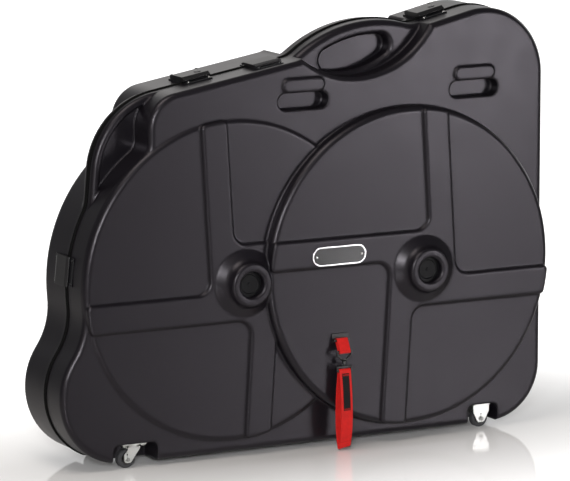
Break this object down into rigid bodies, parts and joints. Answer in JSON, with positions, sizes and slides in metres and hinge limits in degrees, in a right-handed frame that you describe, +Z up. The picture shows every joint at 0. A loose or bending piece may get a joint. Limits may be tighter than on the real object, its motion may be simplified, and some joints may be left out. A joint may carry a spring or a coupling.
{
  "type": "bike travel case",
  "caption": "Hard upright bicycle travel case: two hinged moulded half shells with raised wheel discs and hub bosses, latches, castors, finger-pocket handle and a red tow strap.",
  "frame": {"origin": "bottom centre of the bounding box, on the floor under the castors", "axes": "+X along the case towards the rigid castors, -Y out of the front face with the wheel discs, +Z up"},
  "size_m": [1.1941, 0.268, 0.9436],
  "materials": {
    "shell_plastic": "satin thermoformed sheet",
    "seal_rubber": "matt",
    "pad_foam": "open foam",
    "insert_plastic": "satin",
    "hinge_steel": "black",
    "castor_zinc": "bright zinc plate",
    "tyre_rubber": "matt",
    "core_plastic": "satin",
    "latch_steel": "black",
    "lever_plastic": "satin gloss",
    "lock_chrome": "bright",
    "badge_chrome": "black field with a bright border",
    "hook_plastic": "satin gloss",
    "red_webbing": "woven"
  },
  "bodies": {
    "back_half": {"back_shell": "shell_plastic", "seam_seal": "seal_rubber", "back_foam_liner": "pad_foam", "left_hinge_back_leaf": "hinge_steel", "left_hinge_pin": "hinge_steel", "right_hinge_back_leaf": "hinge_steel", "right_hinge_pin": "hinge_steel", "back_swivel_castor_top_plate": "castor_zinc", "back_rigid_castor_bracket": "castor_zinc", "back_rigid_castor_axle": "castor_zinc", "top_left_latch_base": "latch_steel", "top_left_latch_pin": "latch_steel", "top_middle_latch_keeper": "latch_steel", "top_right_latch_base": "latch_steel", "top_right_latch_pin": "latch_steel", "side_latch_base": "latch_steel", "side_latch_pin": "latch_steel"},
    "front_half": {"front_shell": "shell_plastic", "right_wheel_pad": "pad_foam", "left_wheel_pad": "pad_foam", "left_hub_insert": "insert_plastic", "right_hub_insert": "insert_plastic", "badge_plate": "badge_chrome", "strap_anchor": "hook_plastic", "strap_anchor_webbing": "red_webbing", "left_hinge_front_leaf": "hinge_steel", "right_hinge_front_leaf": "hinge_steel", "front_swivel_castor_top_plate": "castor_zinc", "front_rigid_castor_bracket": "castor_zinc", "front_rigid_castor_axle": "castor_zinc", "top_left_latch_keeper": "latch_steel", "top_middle_latch_base": "latch_steel", "top_middle_latch_pin": "latch_steel", "top_right_latch_keeper": "latch_steel", "side_latch_keeper": "latch_steel"},
    "top_left_lever": {"top_left_latch_lever": "lever_plastic"},
    "top_left_lock": {"top_left_latch_lock": "lock_chrome"},
    "top_middle_lever": {"top_middle_latch_lever": "lever_plastic"},
    "top_right_lever": {"top_right_latch_lever": "lever_plastic"},
    "top_right_lock": {"top_right_latch_lock": "lock_chrome"},
    "side_lever": {"side_latch_lever": "lever_plastic"},
    "front_swivel": {"front_swivel_castor_fork": "castor_zinc", "front_swivel_castor_axle": "castor_zinc"},
    "front_swivel_wheel": {"front_swivel_castor_tyre": "tyre_rubber", "front_swivel_castor_wheel_core": "core_plastic"},
    "front_rigid_wheel": {"front_rigid_castor_tyre": "tyre_rubber", "front_rigid_castor_wheel_core": "core_plastic"},
    "back_swivel": {"back_swivel_castor_fork": "castor_zinc", "back_swivel_castor_axle": "castor_zinc"},
    "back_swivel_wheel": {"back_swivel_castor_tyre": "tyre_rubber", "back_swivel_castor_wheel_core": "core_plastic"},
    "back_rigid_wheel": {"back_rigid_castor_tyre": "tyre_rubber", "back_rigid_castor_wheel_core": "core_plastic"},
    "hook": {"strap_hook": "hook_plastic"},
    "tow_loop": {"strap_swivel_eye": "hook_plastic", "strap_hand_loop": "red_webbing"}
  },
  "joints": [
    {"name": "lid_hinge", "type": "hinge", "parent": "back_half", "child": "front_half", "pos_m": [0, 0.016, 0.0075], "axis": [1, 0, 0], "range_deg": [0, 110]},
    {"name": "top_left_latch", "type": "hinge", "parent": "back_half", "child": "top_left_lever", "pos_m": [-0.23438, 0.062, 0.82226], "axis": [-0.9857, 0, -0.1685], "range_deg": [0, 100]},
    {"name": "top_left_key_turn", "type": "hinge", "parent": "top_left_lever", "child": "top_left_lock", "pos_m": [-0.21925, 0.03, 0.8287], "axis": [-0.1685, 0, 0.9857], "range_deg": [0, 90]},
    {"name": "top_middle_latch", "type": "hinge", "parent": "front_half", "child": "top_middle_lever", "pos_m": [-0.08076, -0.03, 0.84477], "axis": [0.9857, 0, 0.1685], "range_deg": [0, 100]},
    {"name": "top_right_latch", "type": "hinge", "parent": "back_half", "child": "top_right_lever", "pos_m": [0.34417, 0.062, 0.92923], "axis": [-0.9748, 0, -0.2233], "range_deg": [0, 100]},
    {"name": "top_right_key_turn", "type": "hinge", "parent": "top_right_lever", "child": "top_right_lock", "pos_m": [0.35892, 0.03, 0.93651], "axis": [-0.2233, 0, 0.9748], "range_deg": [0, 90]},
    {"name": "side_latch", "type": "hinge", "parent": "back_half", "child": "side_lever", "pos_m": [-0.54117, 0.062, 0.4255], "axis": [-0.108, 0, -0.9942], "range_deg": [0, 100]},
    {"name": "front_castor_swivel", "type": "hinge", "parent": "front_half", "child": "front_swivel", "pos_m": [-0.418, -0.043, 0.045], "axis": [0, 0, 1], "continuous": true},
    {"name": "front_swivel_wheel_spin", "type": "hinge", "parent": "front_swivel", "child": "front_swivel_wheel", "pos_m": [-0.434, -0.043, 0.02], "axis": [0, 1, 0], "continuous": true},
    {"name": "front_rigid_wheel_spin", "type": "hinge", "parent": "front_half", "child": "front_rigid_wheel", "pos_m": [0.443, -0.043, 0.02], "axis": [0, 1, 0], "continuous": true},
    {"name": "back_castor_swivel", "type": "hinge", "parent": "back_half", "child": "back_swivel", "pos_m": [-0.418, 0.113, 0.045], "axis": [0, 0, 1], "continuous": true},
    {"name": "back_swivel_wheel_spin", "type": "hinge", "parent": "back_swivel", "child": "back_swivel_wheel", "pos_m": [-0.434, 0.113, 0.02], "axis": [0, 1, 0], "continuous": true},
    {"name": "back_rigid_wheel_spin", "type": "hinge", "parent": "back_half", "child": "back_rigid_wheel", "pos_m": [0.443, 0.113, 0.02], "axis": [0, 1, 0], "continuous": true},
    {"name": "hook_swing", "type": "hinge", "parent": "front_half", "child": "hook", "pos_m": [0.062, -0.1145, 0.218], "axis": [-1, 0, 0], "range_deg": [0, 85]},
    {"name": "loop_swivel", "type": "hinge", "parent": "hook", "child": "tow_loop", "pos_m": [0.062, -0.1145, 0.18], "axis": [0, 0, 1], "continuous": true}
  ]
}
